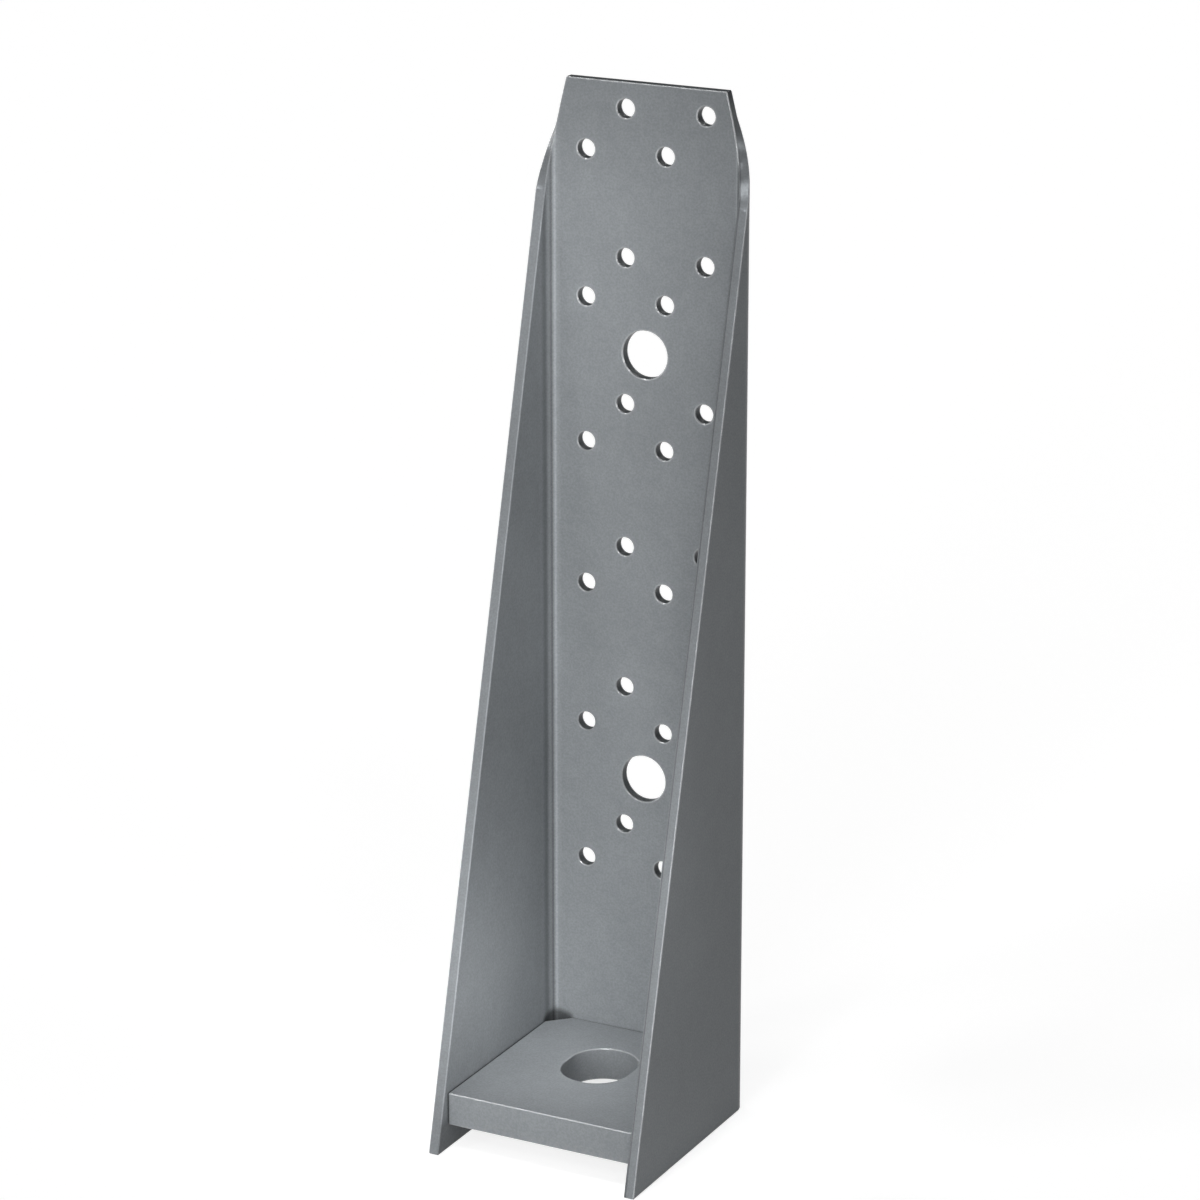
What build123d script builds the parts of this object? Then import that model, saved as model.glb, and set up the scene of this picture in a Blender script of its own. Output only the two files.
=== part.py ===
from build123d import *
import math
import os

# Hold-down bracket: a tapered channel folded from one sheet, with a thick seat plate set between
# its flanges near the foot.
# X is the width, the open side faces -Y, the back plate stands at +Y, and the foot is at z = 0.

# Channel
height = 384.2
depth = 93.8
inside_width = 76.2
top_width = 63.5
sheet = 4.0
inside_bend_radius = 4.0
neutral_axis_factor = 0.25
edge_radius = 0.4
least_corner_angle = 30

# Screw holes, in staggered groups of four
screw_hole_diameter = 7.0
screw_column_pitch = 15.875
screw_row_pitch = 15.875
screw_group_pitch = 53.975
screw_group_count = 6
top_row_below_edge = 9.525
hole_rim_break = 0.3

# Large holes on the centre line, between two groups
large_hole_diameter = 17.9
groups_above_first_large_hole = 2
groups_between_large_holes = 3
large_hole_count = 2

# Seat plate
seat_thickness = 12.5
seat_top_height = 22.1
seat_length = 82.4
seat_side_clearance = 0.4
seat_corner_cut = 7.8

# Slot for the anchor rod, longer from front to back
slot_width = 26.4
slot_length = 31.8
slot_centre_from_back_plate = 35.0

# Weld beads under the seat, one along each flange
weld_leg = 5.5
weld_bulge = 0.6
weld_length = 50.0
weld_setback = 14.0

# Derived sizes
outside_width = inside_width + 2 * sheet
outside_bend_radius = inside_bend_radius + sheet
back_face_y = depth / 2
inner_face_y = back_face_y - sheet
bend_start_x = inside_width / 2 - inside_bend_radius
bend_end_y = inner_face_y - inside_bend_radius
neutral_radius = inside_bend_radius + neutral_axis_factor * sheet
bend_allowance = neutral_radius * math.pi / 2
seat_bottom_height = seat_top_height - seat_thickness
seat_width = inside_width - 2 * seat_side_clearance

# The flat blank has straight slanted sides: its half width grows evenly from the top edge to the
# foot, and folding wraps each side round its bend.
foot_half_blank = bend_start_x + bend_allowance + (bend_end_y + depth / 2)
side_slope = (foot_half_blank - top_width / 2) / height


def side_height(half_blank):
    """Height of the slanted side where the flat blank has this half width."""
    return height - (half_blank - top_width / 2) / side_slope


def folded_edges(part):
    """Edges where two faces meet at a real corner, from the top edge down to the foot.

    The seams between flats and bends are left out, because the faces run smoothly into each other.
    """
    corners = ShapeList()
    for edge in part.edges():
        middle = edge @ 0.5
        faces = [face for face in part.faces() if any(other.is_same(edge) for other in face.edges())]
        normals = [face.normal_at(middle) for face in faces]
        if len(normals) == 2 and normals[0].get_angle(normals[1]) > least_corner_angle:
            corners.append(edge)
    return corners.sort_by(Axis.Z, reverse=True)


bend_top_z = side_height(bend_start_x)
bend_foot_z = side_height(bend_start_x + bend_allowance)
cutter_top_z = side_height(0)
wrap_sections = 7

# Folded channel
with BuildPart() as body:
    with BuildSketch(Plane.XY) as outer_section:
        Rectangle(outside_width, depth)
        fillet(outer_section.vertices().group_by(Axis.Y)[-1], outside_bend_radius)
    extrude(amount=height)
    with BuildSketch(Plane.XY) as inner_section:
        with Locations((0, -depth / 2)):
            Rectangle(inside_width, 2 * (depth - sheet))
        fillet(inner_section.vertices().group_by(Axis.Y)[-1], inside_bend_radius)
    extrude(amount=height, mode=Mode.SUBTRACT)

    # Slanted sides of the back plate, down to the start of each bend
    with BuildSketch(Plane.XZ.offset(-back_face_y)) as back_plate_sides:
        for side in (-1, 1):
            with BuildLine():
                Polyline(
                    (0, cutter_top_z),
                    (side * bend_start_x, bend_top_z),
                    (side * bend_start_x, cutter_top_z),
                    close=True,
                )
            make_face()
    extrude(amount=depth, mode=Mode.SUBTRACT)

    # The same slanted cut, square to the sheet all the way round each bend
    for side in (-1, 1):
        for step in range(wrap_sections):
            turn = math.pi / 2 * step / (wrap_sections - 1)
            radial = Plane(
                origin=(side * bend_start_x, bend_end_y, 0),
                x_dir=(side * math.sin(turn), math.cos(turn), 0),
                z_dir=(math.cos(turn), -side * math.sin(turn), 0),
            )
            cut_height = side_height(bend_start_x + neutral_radius * turn)
            with BuildSketch(radial):
                with Locations((inside_bend_radius + sheet / 2, (cut_height + cutter_top_z) / 2)):
                    Rectangle(sheet + inside_bend_radius, cutter_top_z - cut_height)
        loft(mode=Mode.SUBTRACT)

    # Slanted fronts of the flanges, up to the end of each bend
    with BuildSketch(Plane.YZ) as flange_fronts:
        with BuildLine():
            Polyline(
                (-depth / 2, 0),
                (bend_end_y, bend_foot_z),
                (bend_end_y, cutter_top_z),
                (-depth / 2 - sheet, cutter_top_z),
                (-depth / 2 - sheet, 0),
                close=True,
            )
        make_face()
    extrude(amount=outside_width, both=True, mode=Mode.SUBTRACT)
    fillet(folded_edges(body.part), edge_radius)

    # Screw holes: the upper pair of each group sits one column to the right of the lower pair
    with BuildSketch(Plane.XZ.offset(-back_face_y)) as screw_holes:
        for group in range(screw_group_count):
            upper_row_z = height - top_row_below_edge - group * screw_group_pitch
            for pair in (-1, 1):
                upper_column_x = (pair + 0.5) * screw_column_pitch
                with Locations(
                    (upper_column_x, upper_row_z),
                    (upper_column_x - screw_column_pitch, upper_row_z - screw_row_pitch),
                ):
                    Circle(screw_hole_diameter / 2)
    extrude(amount=2 * sheet, mode=Mode.SUBTRACT)
    chamfer(body.edges(Select.LAST).filter_by(GeomType.CIRCLE).group_by(Axis.Y)[0], hole_rim_break)

    # Large holes, each in the middle of a gap between two groups
    with BuildSketch(Plane.XZ.offset(-back_face_y)) as large_holes:
        for number in range(large_hole_count):
            groups_above = groups_above_first_large_hole + number * groups_between_large_holes
            last_upper_row_z = height - top_row_below_edge - (groups_above - 1) * screw_group_pitch
            with Locations((0, last_upper_row_z - (screw_row_pitch + screw_group_pitch) / 2)):
                Circle(large_hole_diameter / 2)
    extrude(amount=2 * sheet, mode=Mode.SUBTRACT)
    chamfer(body.edges(Select.LAST).filter_by(GeomType.CIRCLE).group_by(Axis.Y)[0], hole_rim_break)

# Seat plate, flat against the back plate, with its rear corners cut off to clear the bends
with BuildPart() as seat_plate:
    with BuildSketch(Plane.XY.offset(seat_bottom_height)) as seat_outline:
        with Locations((0, inner_face_y - seat_length / 2)):
            Rectangle(seat_width, seat_length)
        chamfer(seat_outline.vertices().group_by(Axis.Y)[-1], seat_corner_cut)
    extrude(amount=seat_thickness)
    fillet(seat_plate.edges().filter_by(Plane.XY), edge_radius)
    with BuildSketch(Plane.XY.offset(seat_bottom_height)) as anchor_slot:
        with Locations((0, inner_face_y - slot_centre_from_back_plate)):
            SlotOverall(slot_length, slot_width, rotation=90)
    extrude(amount=seat_thickness, mode=Mode.SUBTRACT)
    chamfer(seat_plate.edges(Select.LAST).filter_by(Plane.XY), hole_rim_break)

# Weld beads that hold the seat plate to the flanges from below
weld_middle_y = inner_face_y - seat_length + weld_setback + weld_length / 2
weld_corner_x = inside_width / 2
weld_face_middle = weld_leg / 2 + weld_bulge / math.sqrt(2)
with BuildPart() as weld_right:
    with BuildSketch(Plane.XZ.offset(-weld_middle_y)) as bead_section:
        with BuildLine():
            Line((weld_corner_x - weld_leg, seat_bottom_height), (weld_corner_x, seat_bottom_height))
            Line((weld_corner_x, seat_bottom_height), (weld_corner_x, seat_bottom_height - weld_leg))
            ThreePointArc(
                (weld_corner_x, seat_bottom_height - weld_leg),
                (weld_corner_x - weld_face_middle, seat_bottom_height - weld_face_middle),
                (weld_corner_x - weld_leg, seat_bottom_height),
            )
        make_face()
    extrude(amount=weld_length / 2, both=True)

with BuildPart() as weld_left:
    mirror(weld_right.part, about=Plane.YZ)

body.part.label = "body"
seat_plate.part.label = "seat_plate"
weld_right.part.label = "weld_right"
weld_left.part.label = "weld_left"

os.makedirs("parts", exist_ok=True)
export_step(body.part, "parts/body.step")
export_step(seat_plate.part, "parts/seat_plate.step")
export_step(weld_right.part, "parts/weld_right.step")
export_step(weld_left.part, "parts/weld_left.step")

print("outside width", outside_width, "side slope", round(side_slope, 4))
for name, made in (("body", body), ("seat_plate", seat_plate), ("weld_right", weld_right)):
    print(name, round(made.part.volume), made.part.is_valid, len(made.part.solids()))
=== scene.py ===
import math

import bpy
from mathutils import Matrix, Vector


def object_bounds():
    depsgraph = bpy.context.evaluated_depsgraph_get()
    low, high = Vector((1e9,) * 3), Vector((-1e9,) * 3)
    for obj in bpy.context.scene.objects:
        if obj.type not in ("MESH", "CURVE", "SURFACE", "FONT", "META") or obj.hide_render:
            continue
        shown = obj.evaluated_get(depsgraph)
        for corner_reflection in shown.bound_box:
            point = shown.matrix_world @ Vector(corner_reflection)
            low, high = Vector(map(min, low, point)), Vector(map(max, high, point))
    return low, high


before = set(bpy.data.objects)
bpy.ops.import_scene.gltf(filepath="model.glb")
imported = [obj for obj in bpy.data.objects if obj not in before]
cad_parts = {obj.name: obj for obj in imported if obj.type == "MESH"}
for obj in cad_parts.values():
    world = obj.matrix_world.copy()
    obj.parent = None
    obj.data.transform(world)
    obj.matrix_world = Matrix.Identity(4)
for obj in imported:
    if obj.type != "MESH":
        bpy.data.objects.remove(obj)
cad_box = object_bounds()

# Camera, found from the outlines of the holes in the photograph
CAMERA_LOCATION = (0.670742, -1.279180, 0.665829)
CAMERA_ROTATION = (72.3263, 0.0, 27.5218)
CAMERA_LENS = 127.646
CAMERA_SENSOR = 36.0
CAMERA_CLIP_START = 0.01
CAMERA_CLIP_END = 100.0

# Floor and surroundings
FLOOR_RADIUS = 12.0
FLOOR_SIDES = 96
FLOOR_DROP = 0.0001
FLOOR_COLOUR = (0.45, 0.45, 0.45, 1.0)
FLOOR_GLOW = 0.794
WORLD_COLOUR = (1.0, 1.0, 1.0, 1.0)
WORLD_STRENGTH = 0.055

# Wide lamps far away: azimuth from the open side towards the right, elevation and width, all in
# degrees, and how bright each makes a white surface that faces it
FAR_LAMPS = {
    "key": (-28.0, 25.0, 12.0, 0.12),
    "front_right": (12.0, 25.0, 24.0, 0.16),
    "high_left": (-56.0, 58.0, 12.0, 0.085),
    "high_right": (46.0, 43.0, 9.0, 0.04),
    "low_right": (61.0, 12.0, 10.0, 0.05),
    "right": (100.0, 12.0, 16.0, 0.045),
    "left": (-115.0, 10.0, 16.0, 0.45),
    "behind": (-172.0, 10.0, 16.0, 0.50),
}
LAMP_DISTANCE = 2.0

# Soft boxes near the object: place, the point they face, width, height, spread and power
NEAR_LAMPS = {
    "strip": ((0.16, -0.22, 0.22), (-0.03, 0.0, 0.2), 0.06, 0.5, 50.0, 0.040),
    "front": ((0.06, -0.50, 0.20), (-0.03, 0.0, 0.18), 0.05, 0.5, 40.0, 0.115),
    "overhead": ((0.0, -0.12, 0.50), (0.015, 0.0, 0.02), 0.10, 0.10, 20.0, 0.019),
    "seat": ((0.0, -0.30, 0.30), (0.0, 0.03, 0.03), 0.12, 0.12, 30.0, 0.0145),
    "foot": ((0.11, -0.14, 0.28), (-0.038, 0.0, 0.05), 0.05, 0.05, 25.0, 0.0100),
    "waist": ((0.12, -0.20, 0.27), (-0.038, 0.02, 0.19), 0.05, 0.08, 30.0, 0.005),
    "shoulder": ((0.12, -0.20, 0.40), (-0.038, 0.03, 0.32), 0.05, 0.08, 30.0, 0.009),
    "flange": ((0.25, -0.25, 0.075), (-0.042, -0.03, 0.055), 0.03, 0.03, 14.0, 0.0036),
}

# Paint, with its orange peel
PAINT_COLOUR = (0.254, 0.270, 0.283)
PAINT_ROUGHNESS = 0.33
PAINT_SPECULAR = 0.05
PEEL_SIZE = 0.0012
PEEL_HEIGHT = 0.00003

# Clouds, mottle and grain: size, the part of the noise's range that counts, and depth
PAINT_LAYERS = (
    (0.030, 0.3, 0.7, 0.03),
    (0.0045, 0.2, 0.8, 0.03),
    (0.0007, 0.2, 0.8, 0.10),
)
NOISE_DETAIL = 2.0

# Light specks, brightest in their core
SPECK_SPACING = 0.012
SPECK_RADIUS = 0.0003
SPECK_CORE = 0.00015
SPECK_LIGHTENING = 0.25

# Patches, less or more worn and smoother or rougher, and the parts of the noise's range that count
PATCH_SIZE = 0.0045
PATCH_WEAR_NOISE = (0.3, 0.6)
PATCH_LEAST_WEAR = 0.85
PATCH_ROUGHNESS_NOISE = (0.2, 0.8)
PATCH_ROUGHNESS_CHANGE = 0.04

# Worn edges, where the paint is thin over the steel. The less open the metal inside an edge is,
# the more it is worn.
STEEL_COLOUR = (0.73, 0.745, 0.755, 1.0)
STEEL_METALLIC = 0.7
STEEL_ROUGHNESS = 0.2
EDGE_REACH = 0.0004
EDGE_START = 0.97
EDGE_FULL = 0.86
EDGE_WEAR = 0.85
OCCLUSION_SAMPLES = 8

# Crevices, not worn and darkened with painted shade, and how open the surface is where they are
# darkest, where they end, and where wear is full
CREVICE_REACH = 0.0015
CREVICE_DARKEST = 0.15
CREVICE_END = 0.6
CREVICE_CLEAR = 0.9
CREVICE_SHADE_DARKENING = 0.2

# Sheet of the body, its bends and its cut faces, with painted shade darkest in the holes and on top
SHEET = 0.004
INSIDE_BEND_RADIUS = 0.004
CUT_MARGIN = 0.0006
CUT_LIGHTENING = 1.04
CUT_METALLIC = 0.3
CUT_ROUGHNESS = 0.25
PUNCHED_BORDER = 0.0025
PUNCHED_SHADE_DARKENING = 0.4

# Flanges: less worn than the back plate, and least at their inner corners
FLANGE_KEPT = 0.4
INNER_CORNER_KEPT = 0.85

# The right flange's inner corner: painted dark reflection where it would be worn, and on a lip
# of the front face beside it
CORNER_WEAR = (0.1, 0.4)
CORNER_REFLECTION_DARKENING = 0.45
LIP_WIDTH = 0.0008
LIP_END = 0.00104
LIP_REFLECTION_DARKENING = 0.6

# Sides of the seat plate, with painted shade in the narrow gaps to the flanges
GAP_REACH = 0.0010
GAP_SHADE_DARKENING = 0.35

# Painted reflections inside each bend, a bright streak between dark lines: distance round the bend
# from the back plate, and lightness there, which stays under the top
BEND_REFLECTIONS = (
    (0.0000, 1.00), (0.0014, 1.03), (0.0023, 1.38), (0.0028, 1.10), (0.0036, 0.55),
    (0.0046, 0.90), (0.0052, 0.94), (0.0075, 0.76), (0.0105, 1.03), (0.0130, 1.00),
)
BEND_REFLECTIONS_TOP = 2.0

# Painted dark reflection in the rear corners over the seat plate, painted shade inside near the foot
DARK_REFLECTION_FOOT = 0.0235
DARK_REFLECTION_TOP = 0.0270
DARK_REFLECTION_SLOPE = 0.25
DARK_REFLECTION_NEAR = 0.006
DARK_REFLECTION_FAR = 0.009
DARK_REFLECTION_DARKENING = 0.3
FOOT_SHADE_FULL = 0.009
FOOT_SHADE_TOP = 0.014
FOOT_SHADE_DARKENING = 0.6

# Inner face of the right flange, and the centre of the right bend
FLANGE_X = cad_box[1].x - SHEET
BEND_X = FLANGE_X - INSIDE_BEND_RADIUS
BEND_Y = cad_box[1].y - SHEET - INSIDE_BEND_RADIUS

# Sockets of a Mix node for each kind of value: both inputs and the output
MIX_SOCKETS = {"FLOAT": (2, 3, 0), "RGBA": (6, 7, 2)}


class Graph:
    """Short ways to add nodes to a material."""

    def __init__(self, name):
        self.material = bpy.data.materials.new(name)
        self.material.use_nodes = True
        self.tree = self.material.node_tree
        self.tree.nodes.clear()

    def node(self, kind, inputs=None, **settings):
        """A node with its settings, and its inputs set to values or linked to sockets."""
        made = self.tree.nodes.new("ShaderNode" + kind)
        for setting, value in settings.items():
            setattr(made, setting, value)
        for socket, value in (inputs or {}).items():
            if isinstance(value, bpy.types.NodeSocket):
                self.tree.links.new(value, made.inputs[socket])
            else:
                made.inputs[socket].default_value = value
        return made

    def place(self):
        """The place on the object."""
        return self.node("TexCoord").outputs["Object"]

    def math(self, operation, *values):
        """The result of a Math node."""
        return self.node("Math", dict(enumerate(values)), operation=operation).outputs[0]

    def product(self, first, *others):
        """Several values multiplied."""
        for other in others:
            first = self.math("MULTIPLY", first, other)
        return first

    def without(self, value, share):
        """A value less a share of it."""
        return self.product(value, self.math("SUBTRACT", 1.0, share))

    def ramp(self, value, start, end, low=0.0, high=1.0):
        """A value brought smoothly from one range to another, and kept inside it."""
        inputs = {"Value": value, "From Min": start, "From Max": end, "To Min": low, "To Max": high}
        made = self.node("MapRange", inputs, interpolation_type="SMOOTHSTEP")
        return made.outputs["Result"]

    def fall(self, value, start, end):
        """1 up to the start and 0 from the end on."""
        return self.ramp(value, start, end, 1.0, 0.0)

    def mix(self, share, low, high, kind="FLOAT"):
        """Two values of one kind mixed by a share."""
        first, second, result = MIX_SOCKETS[kind]
        made = self.node("Mix", {0: share, first: low, second: high}, data_type=kind)
        return made.outputs[result]

    def tint(self, value, share, factor):
        """A value multiplied by a factor as far as a share goes."""
        return self.product(value, self.mix(share, 1.0, factor))

    def noise(self, place, size):
        """Noise from 0 to 1 whose features have about this size in metres."""
        inputs = {"Vector": place, "Scale": 1 / size, "Detail": NOISE_DETAIL}
        return self.node("TexNoise", inputs).outputs["Fac"]

    def openness(self, reach, inside=False):
        """How open the space within reach is, from 0 to 1, outside the surface or inside it."""
        settings = {"samples": OCCLUSION_SAMPLES, "inside": inside}
        return self.node("AmbientOcclusion", {"Distance": reach}, **settings).outputs["AO"]

    def curve(self, value, points, top):
        """A value read from a smooth curve through points whose levels lie between 0 and the top."""
        start, end = points[0][0], points[-1][0]
        inputs = {"Value": value, "From Min": start, "From Max": end}
        share = self.node("MapRange", inputs).outputs["Result"]
        made = self.node("ValToRGB", {"Fac": share})
        stops = made.color_ramp.elements
        for number, (position, level) in enumerate(points):
            position = (position - start) / (end - start)
            stop = stops[number] if number < len(stops) else stops.new(position)
            stop.position = position
            stop.color = (level / top, level / top, level / top, 1.0)
        made.color_ramp.interpolation = "EASE"
        return self.product(made.outputs["Color"], top)

    def finish(self, shader):
        """The material, with its surface made by a shader."""
        self.node("OutputMaterial", {"Surface": shader.outputs[0]})
        return self.material


def make_camera():
    """The camera of the photograph."""
    data = bpy.data.cameras.new("camera")
    data.sensor_width = CAMERA_SENSOR
    data.lens = CAMERA_LENS
    data.clip_start = CAMERA_CLIP_START
    data.clip_end = CAMERA_CLIP_END
    camera = bpy.data.objects.new("camera", data)
    bpy.context.scene.collection.objects.link(camera)
    camera.location = CAMERA_LOCATION
    camera.rotation_euler = [math.radians(angle) for angle in CAMERA_ROTATION]
    bpy.context.scene.camera = camera


def floor_material():
    """White to the camera and in reflections, and darker in the object's shadow."""
    graph = Graph("floor_white")
    path = graph.node("LightPath").outputs
    seen = graph.math("MAXIMUM", path["Is Camera Ray"], path["Is Glossy Ray"])
    seen = graph.math("MAXIMUM", seen, path["Is Transmission Ray"])
    glow = graph.node("Emission", {"Strength": graph.product(seen, FLOOR_GLOW)})
    lit = graph.node("BsdfDiffuse", {"Color": FLOOR_COLOUR})
    return graph.finish(graph.node("AddShader", {0: lit.outputs[0], 1: glow.outputs[0]}))


def make_floor():
    """A pale round floor, just under the foot."""
    bpy.ops.mesh.primitive_circle_add(vertices=FLOOR_SIDES, radius=FLOOR_RADIUS, fill_type="NGON")
    floor = bpy.context.object
    floor.name = "floor"
    floor.location.z = cad_box[0].z - FLOOR_DROP
    floor.data.materials.append(floor_material())


def make_world():
    """Even soft light from all round."""
    world = bpy.data.worlds.new("studio")
    bpy.context.scene.world = world
    world.use_nodes = True
    background = world.node_tree.nodes["Background"]
    background.inputs["Color"].default_value = WORLD_COLOUR
    background.inputs["Strength"].default_value = WORLD_STRENGTH


def place_lamp(name, data, place, faces):
    """Puts a lamp at a place, turned towards a point."""
    lamp = bpy.data.objects.new(name, data)
    bpy.context.scene.collection.objects.link(lamp)
    lamp.location = place
    lamp.rotation_euler = (Vector(place) - Vector(faces)).to_track_quat("Z", "Y").to_euler()


def make_lamps():
    """The lamps of both tables."""
    for name, (azimuth, elevation, width, level) in FAR_LAMPS.items():
        data = bpy.data.lights.new(name, "SUN")
        data.angle = math.radians(width)
        data.energy = level * math.pi
        turn = math.radians(azimuth)
        rise = math.radians(elevation)
        towards = Vector((
            math.sin(turn) * math.cos(rise),
            -math.cos(turn) * math.cos(rise),
            math.sin(rise),
        ))
        place_lamp(name, data, towards * LAMP_DISTANCE, (0, 0, 0))
    for name, (place, faces, width, height, spread, power) in NEAR_LAMPS.items():
        data = bpy.data.lights.new(name, "AREA")
        data.shape = "RECTANGLE"
        data.size = width
        data.size_y = height
        data.spread = math.radians(spread)
        data.energy = power
        place_lamp(name, data, place, faces)


def place_on_sheet(graph, axes):
    """Where a point of the body lies on its folded sheet.

    Gives the distance sideways past the flat of the back plate, the distance from there round the
    bend and along the flange's inner face, and the depth in the sheet.
    """
    beside = graph.math("SUBTRACT", graph.math("ABSOLUTE", axes["X"]), BEND_X)
    behind = graph.math("SUBTRACT", axes["Y"], BEND_Y)
    outwards = graph.math("MAXIMUM", beside, 0.0)
    backwards = graph.math("MAXIMUM", behind, 0.0)

    turn = graph.math("ARCTAN2", outwards, backwards)
    along = graph.product(turn, INSIDE_BEND_RADIUS)
    along = graph.math("ADD", along, graph.math("MINIMUM", beside, 0.0))
    along = graph.math("SUBTRACT", along, graph.math("MINIMUM", behind, 0.0))

    from_centre = graph.node("CombineXYZ", {0: outwards, 1: backwards}).outputs[0]
    radius = graph.node("VectorMath", {0: from_centre}, operation="LENGTH").outputs["Value"]
    return beside, along, graph.math("SUBTRACT", radius, INSIDE_BEND_RADIUS)


def body_finish(graph, lightness, wear, rough):
    """Lightness, wear, roughness and bare metal of the body, with painted reflections in its bends
    and inner corners and painted shade in its holes, on top and inside its foot.
    """
    axes = graph.node("SeparateXYZ", {0: graph.place()}).outputs
    beside, along, depth = place_on_sheet(graph, axes)

    # Cut faces lie deeper in the sheet than its inner and outer faces
    off_inner = graph.ramp(depth, CUT_MARGIN / 2, CUT_MARGIN)
    off_outer = graph.fall(depth, SHEET - CUT_MARGIN, SHEET - CUT_MARGIN / 2)
    cut = graph.product(off_inner, off_outer)
    punched = graph.product(cut, graph.fall(beside, -PUNCHED_BORDER, 0.0))
    on_inner = graph.math("SUBTRACT", 1.0, off_inner)

    # Painted dark reflection, lower away from the middle of each bend, and painted shade inside the
    # foot
    middle = INSIDE_BEND_RADIUS * math.pi / 4
    away = graph.math("ABSOLUTE", graph.math("SUBTRACT", along, middle))
    rise = graph.math("MULTIPLY_ADD", away, DARK_REFLECTION_SLOPE, axes["Z"])
    low = graph.fall(rise, DARK_REFLECTION_FOOT, DARK_REFLECTION_TOP)
    dark_reflection = graph.product(on_inner, low, graph.fall(away, DARK_REFLECTION_NEAR, DARK_REFLECTION_FAR))
    foot_shade = graph.product(on_inner, graph.fall(axes["Z"], FOOT_SHADE_FULL, FOOT_SHADE_TOP))

    # Flanges, their inner corners, and the right one's line of painted dark reflection
    on_flange = graph.ramp(beside, INSIDE_BEND_RADIUS / 2, INSIDE_BEND_RADIUS)
    inner_corner = graph.product(on_flange, graph.fall(depth, SHEET / 4, SHEET / 2))
    corner_kept = graph.product(inner_corner, INNER_CORNER_KEPT)
    kept = graph.math("MAXIMUM", corner_kept, graph.product(on_flange, FLANGE_KEPT))
    on_right = graph.ramp(axes["X"], -BEND_X, BEND_X)
    corner_reflection = graph.product(graph.ramp(wear, *CORNER_WEAR), inner_corner, on_right)
    lip_reflection = graph.product(off_inner, graph.fall(depth, LIP_WIDTH, LIP_END), on_flange, on_right)

    for share, factor in (
        # painted dark reflection on the right flange's inner corner
        (corner_reflection, CORNER_REFLECTION_DARKENING),
        # painted reflections inside the bends
        (on_inner, graph.curve(along, BEND_REFLECTIONS, BEND_REFLECTIONS_TOP)),
        # painted dark reflection in the rear corners over the seat plate
        (dark_reflection, DARK_REFLECTION_DARKENING),
        # painted shade low inside the foot
        (foot_shade, FOOT_SHADE_DARKENING),
        # painted dark reflection on the right flange's lip
        (lip_reflection, LIP_REFLECTION_DARKENING),
        (cut, CUT_LIGHTENING),
        # painted shade in the holes and on top of the back plate
        (punched, PUNCHED_SHADE_DARKENING),
    ):
        lightness = graph.tint(lightness, share, factor)
    wear = graph.without(graph.without(wear, cut), kept)
    bare = graph.product(graph.math("SUBTRACT", cut, punched), CUT_METALLIC)
    return lightness, wear, graph.mix(cut, rough, CUT_ROUGHNESS), bare


def gap_shade_share(graph):
    """1 on the parts of the seat plate in the gaps to the flanges, where shade is painted, 0
    elsewhere.
    """
    across = graph.node("SeparateXYZ", {0: graph.place()}).outputs["X"]
    return graph.ramp(graph.math("ABSOLUTE", across), FLANGE_X - GAP_REACH, FLANGE_X - GAP_REACH / 2)


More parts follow.
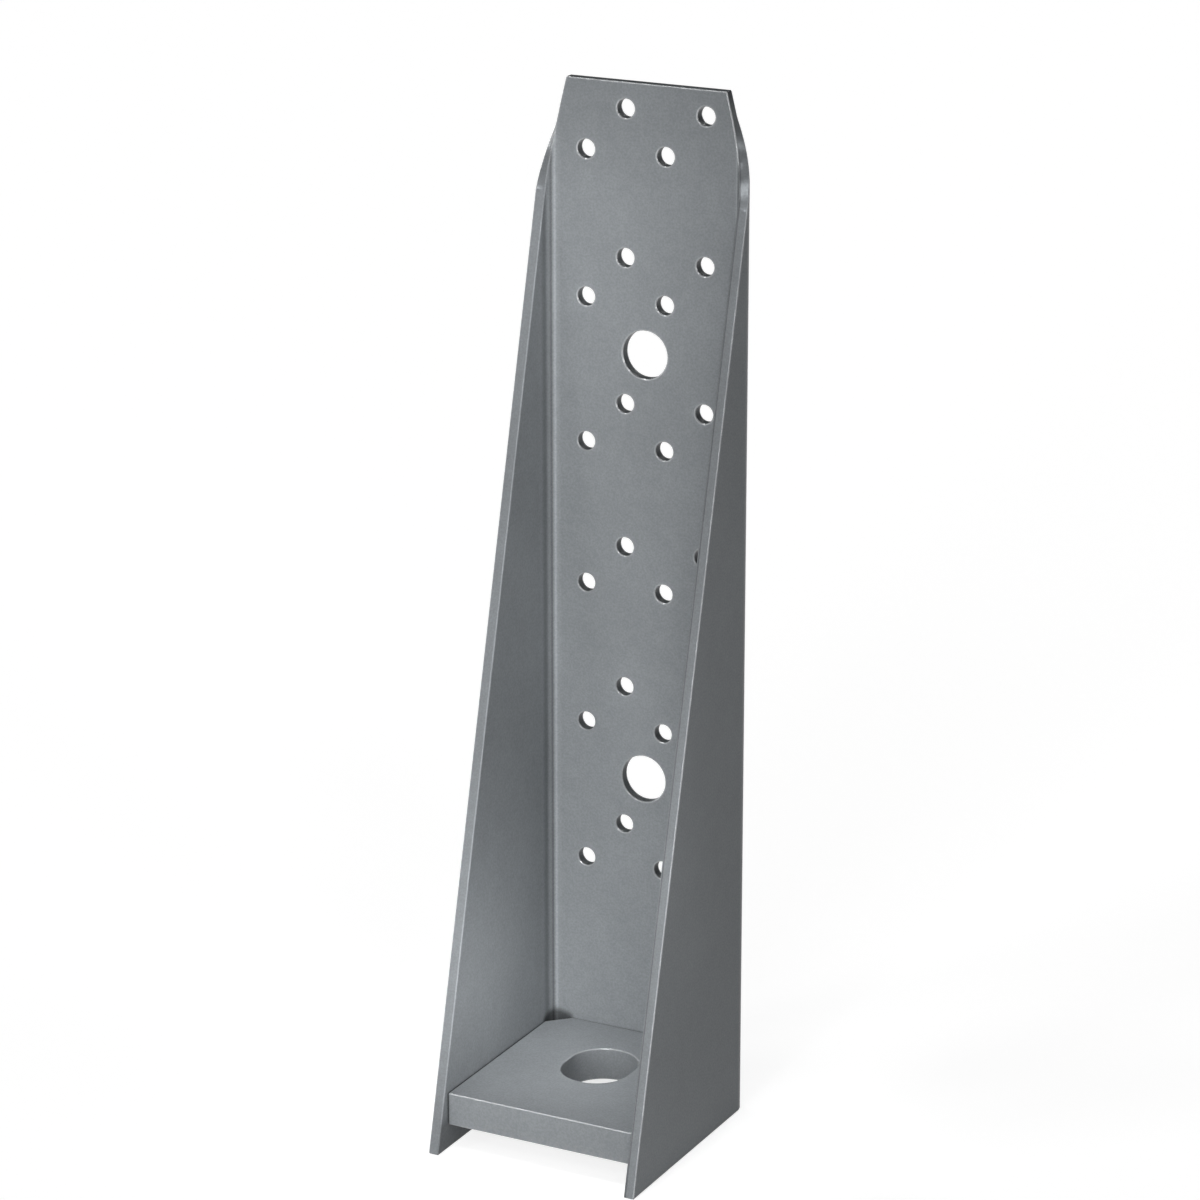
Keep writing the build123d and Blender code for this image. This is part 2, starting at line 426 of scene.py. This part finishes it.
def paint_material(name, shift, folded=False, shaded_gaps=False):
    """Grey paint on steel, mottled and worn at the edges, with painted shade in crevices and the
    painted reflections and shade of its piece.

    The shift keeps the mottle from running on from one piece to the next.
    """
    graph = Graph(name)
    place = graph.node("VectorMath", {0: graph.place(), 1: shift}, operation="ADD").outputs[0]

    # Lightness that varies at three scales, with a few light specks
    lightness = graph.product(*(
        graph.ramp(graph.noise(place, size), start, end, 1 - depth, 1 + depth)
        for size, start, end, depth in PAINT_LAYERS
    ))
    cells = graph.node("TexVoronoi", {"Vector": place, "Scale": 1 / SPECK_SPACING})
    core, rim = SPECK_CORE / SPECK_SPACING, SPECK_RADIUS / SPECK_SPACING
    speck = graph.ramp(cells.outputs["Distance"], core, rim, SPECK_LIGHTENING, 0.0)
    lightness = graph.math("ADD", lightness, speck)

    # Thin paint on open edges, and painted shade in crevices
    patches = graph.noise(place, PATCH_SIZE)
    inside = graph.openness(EDGE_REACH, inside=True)
    around = graph.openness(CREVICE_REACH)
    wear = graph.product(
        graph.ramp(inside, EDGE_START, EDGE_FULL),
        graph.ramp(patches, *PATCH_WEAR_NOISE, PATCH_LEAST_WEAR, 1.0),
        graph.ramp(around, CREVICE_END, CREVICE_CLEAR, 0.0, EDGE_WEAR),
    )
    # Painted shade, darker where the surface is closed in
    crevice_shade = graph.ramp(around, CREVICE_DARKEST, CREVICE_END, CREVICE_SHADE_DARKENING, 1.0)
    lightness = graph.product(lightness, crevice_shade)
    smoother = PAINT_ROUGHNESS - PATCH_ROUGHNESS_CHANGE
    rougher = PAINT_ROUGHNESS + PATCH_ROUGHNESS_CHANGE
    rough = graph.ramp(patches, *PATCH_ROUGHNESS_NOISE, smoother, rougher)

    bare = 0.0
    if shaded_gaps:
        # Painted shade in the gaps beside the flanges
        gap_shade = gap_shade_share(graph)
        wear = graph.without(wear, gap_shade)
        lightness = graph.tint(lightness, gap_shade, GAP_SHADE_DARKENING)
    if folded:
        lightness, wear, rough, bare = body_finish(graph, lightness, wear, rough)

    colour = graph.node("VectorMath", {0: PAINT_COLOUR, "Scale": lightness}, operation="SCALE")
    peel = graph.node("Bump", {"Height": graph.noise(place, PEEL_SIZE), "Distance": PEEL_HEIGHT})
    return graph.finish(graph.node("BsdfPrincipled", {
        "Base Color": graph.mix(wear, colour.outputs["Vector"], STEEL_COLOUR, "RGBA"),
        "Metallic": graph.math("MAXIMUM", graph.product(wear, STEEL_METALLIC), bare),
        "Roughness": graph.mix(wear, rough, STEEL_ROUGHNESS),
        "Specular IOR Level": PAINT_SPECULAR,
        "Normal": peel.outputs[0],
    }))


def dress(node, material):
    """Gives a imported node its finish."""
    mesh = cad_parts[node].data
    mesh.materials.clear()
    mesh.materials.append(material)


bpy.context.scene.view_settings.view_transform = "Standard"
make_camera()
make_floor()
make_world()
make_lamps()
dress("body", paint_material("body_paint", (0.0, 0.0, 0.0), folded=True))
dress("seat_plate", paint_material("seat_paint", (0.3, 0.1, 0.2), shaded_gaps=True))
weld_paint = paint_material("weld_paint", (0.1, 0.4, 0.2))
for weld in ("weld_right", "weld_left"):
    dress(weld, weld_paint)
